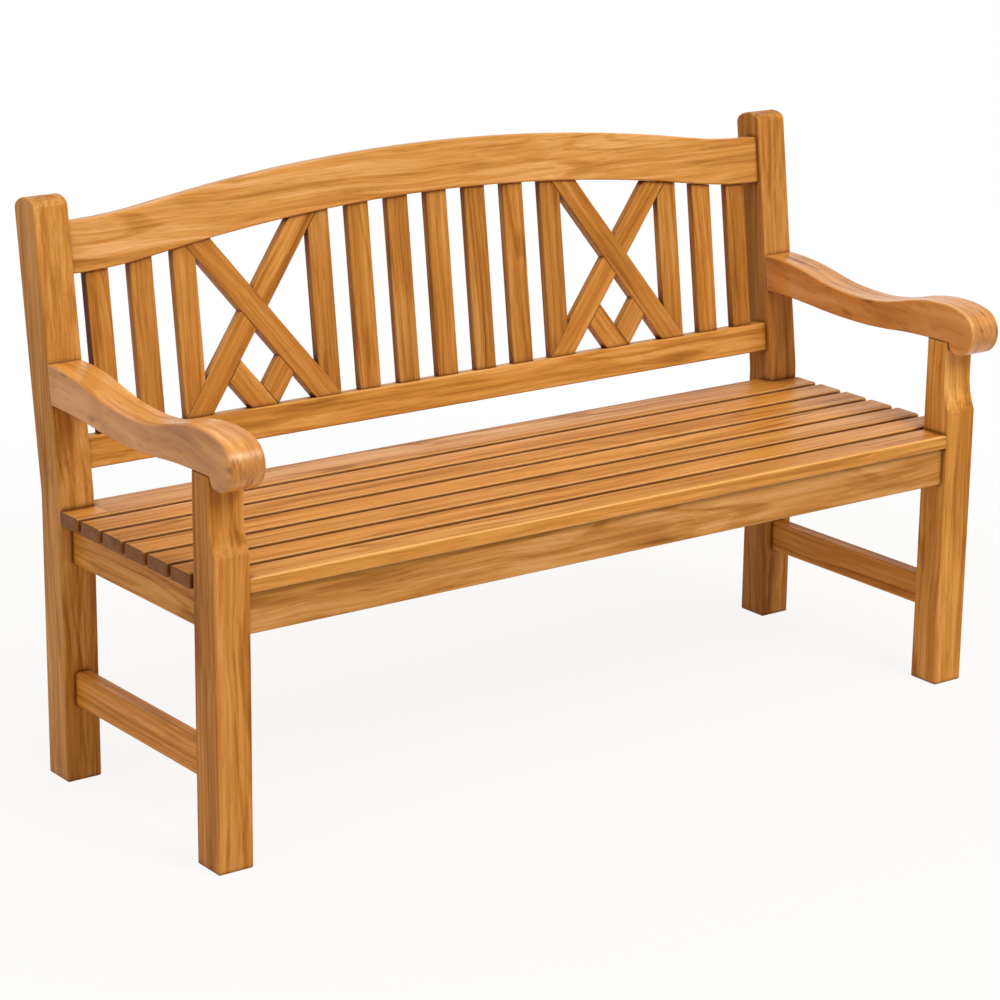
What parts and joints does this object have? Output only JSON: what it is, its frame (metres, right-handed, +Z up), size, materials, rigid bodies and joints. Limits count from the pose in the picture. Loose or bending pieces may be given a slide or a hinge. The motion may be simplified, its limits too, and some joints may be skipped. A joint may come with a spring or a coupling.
{
  "type": "garden bench",
  "caption": "Slatted teak garden bench with scrolled arms, an arched back of upright slats and cross-braced panels, and square legs joined by side stretchers.",
  "frame": {"origin": "on the floor, below the centre of the bounding box", "axes": "+X to the right seen from the front, +Y from the front to the back, +Z up"},
  "size_m": [1.5, 0.6132, 0.9333],
  "materials": {
    "frame_teak": "sanded, oiled, satin",
    "seat_teak": "sanded, oiled, satin",
    "back_teak": "sanded, oiled, satin",
    "pin_wood": "planed"
  },
  "bodies": {
    "root": {"arm_left": "frame_teak", "arm_right": "frame_teak", "back_bottom_rail": "frame_teak", "back_slat_01": "back_teak", "back_slat_02": "back_teak", "back_slat_03": "back_teak", "back_slat_04": "back_teak", "back_slat_05": "back_teak", "back_slat_06": "back_teak", "back_slat_07": "back_teak", "back_slat_08": "back_teak", "back_slat_09": "back_teak", "back_slat_10": "back_teak", "back_slat_11": "back_teak", "back_slat_12": "back_teak", "back_slat_13": "back_teak", "back_top_rail": "frame_teak", "cross_left_main": "back_teak", "cross_left_short_a": "back_teak", "cross_left_short_b": "back_teak", "cross_left_under": "back_teak", "cross_right_main": "back_teak", "cross_right_short_a": "back_teak", "cross_right_short_b": "back_teak", "cross_right_under": "back_teak", "front_leg_left": "frame_teak", "front_leg_right": "frame_teak", "front_seat_rail": "frame_teak", "joint_pegs": "pin_wood", "rear_leg_left": "frame_teak", "rear_leg_right": "frame_teak", "rear_seat_rail": "frame_teak", "seat_centre_bearer": "frame_teak", "seat_filler_left": "seat_teak", "seat_filler_right": "seat_teak", "seat_loose_tenons": "pin_wood", "seat_slat_1": "seat_teak", "seat_slat_2": "seat_teak", "seat_slat_3": "seat_teak", "seat_slat_4": "seat_teak", "seat_slat_5": "seat_teak", "seat_slat_6": "seat_teak", "seat_slat_7": "seat_teak", "side_seat_rail_left": "frame_teak", "side_seat_rail_right": "frame_teak", "side_stretcher_left": "frame_teak", "side_stretcher_right": "frame_teak"}
  },
  "joints": []
}
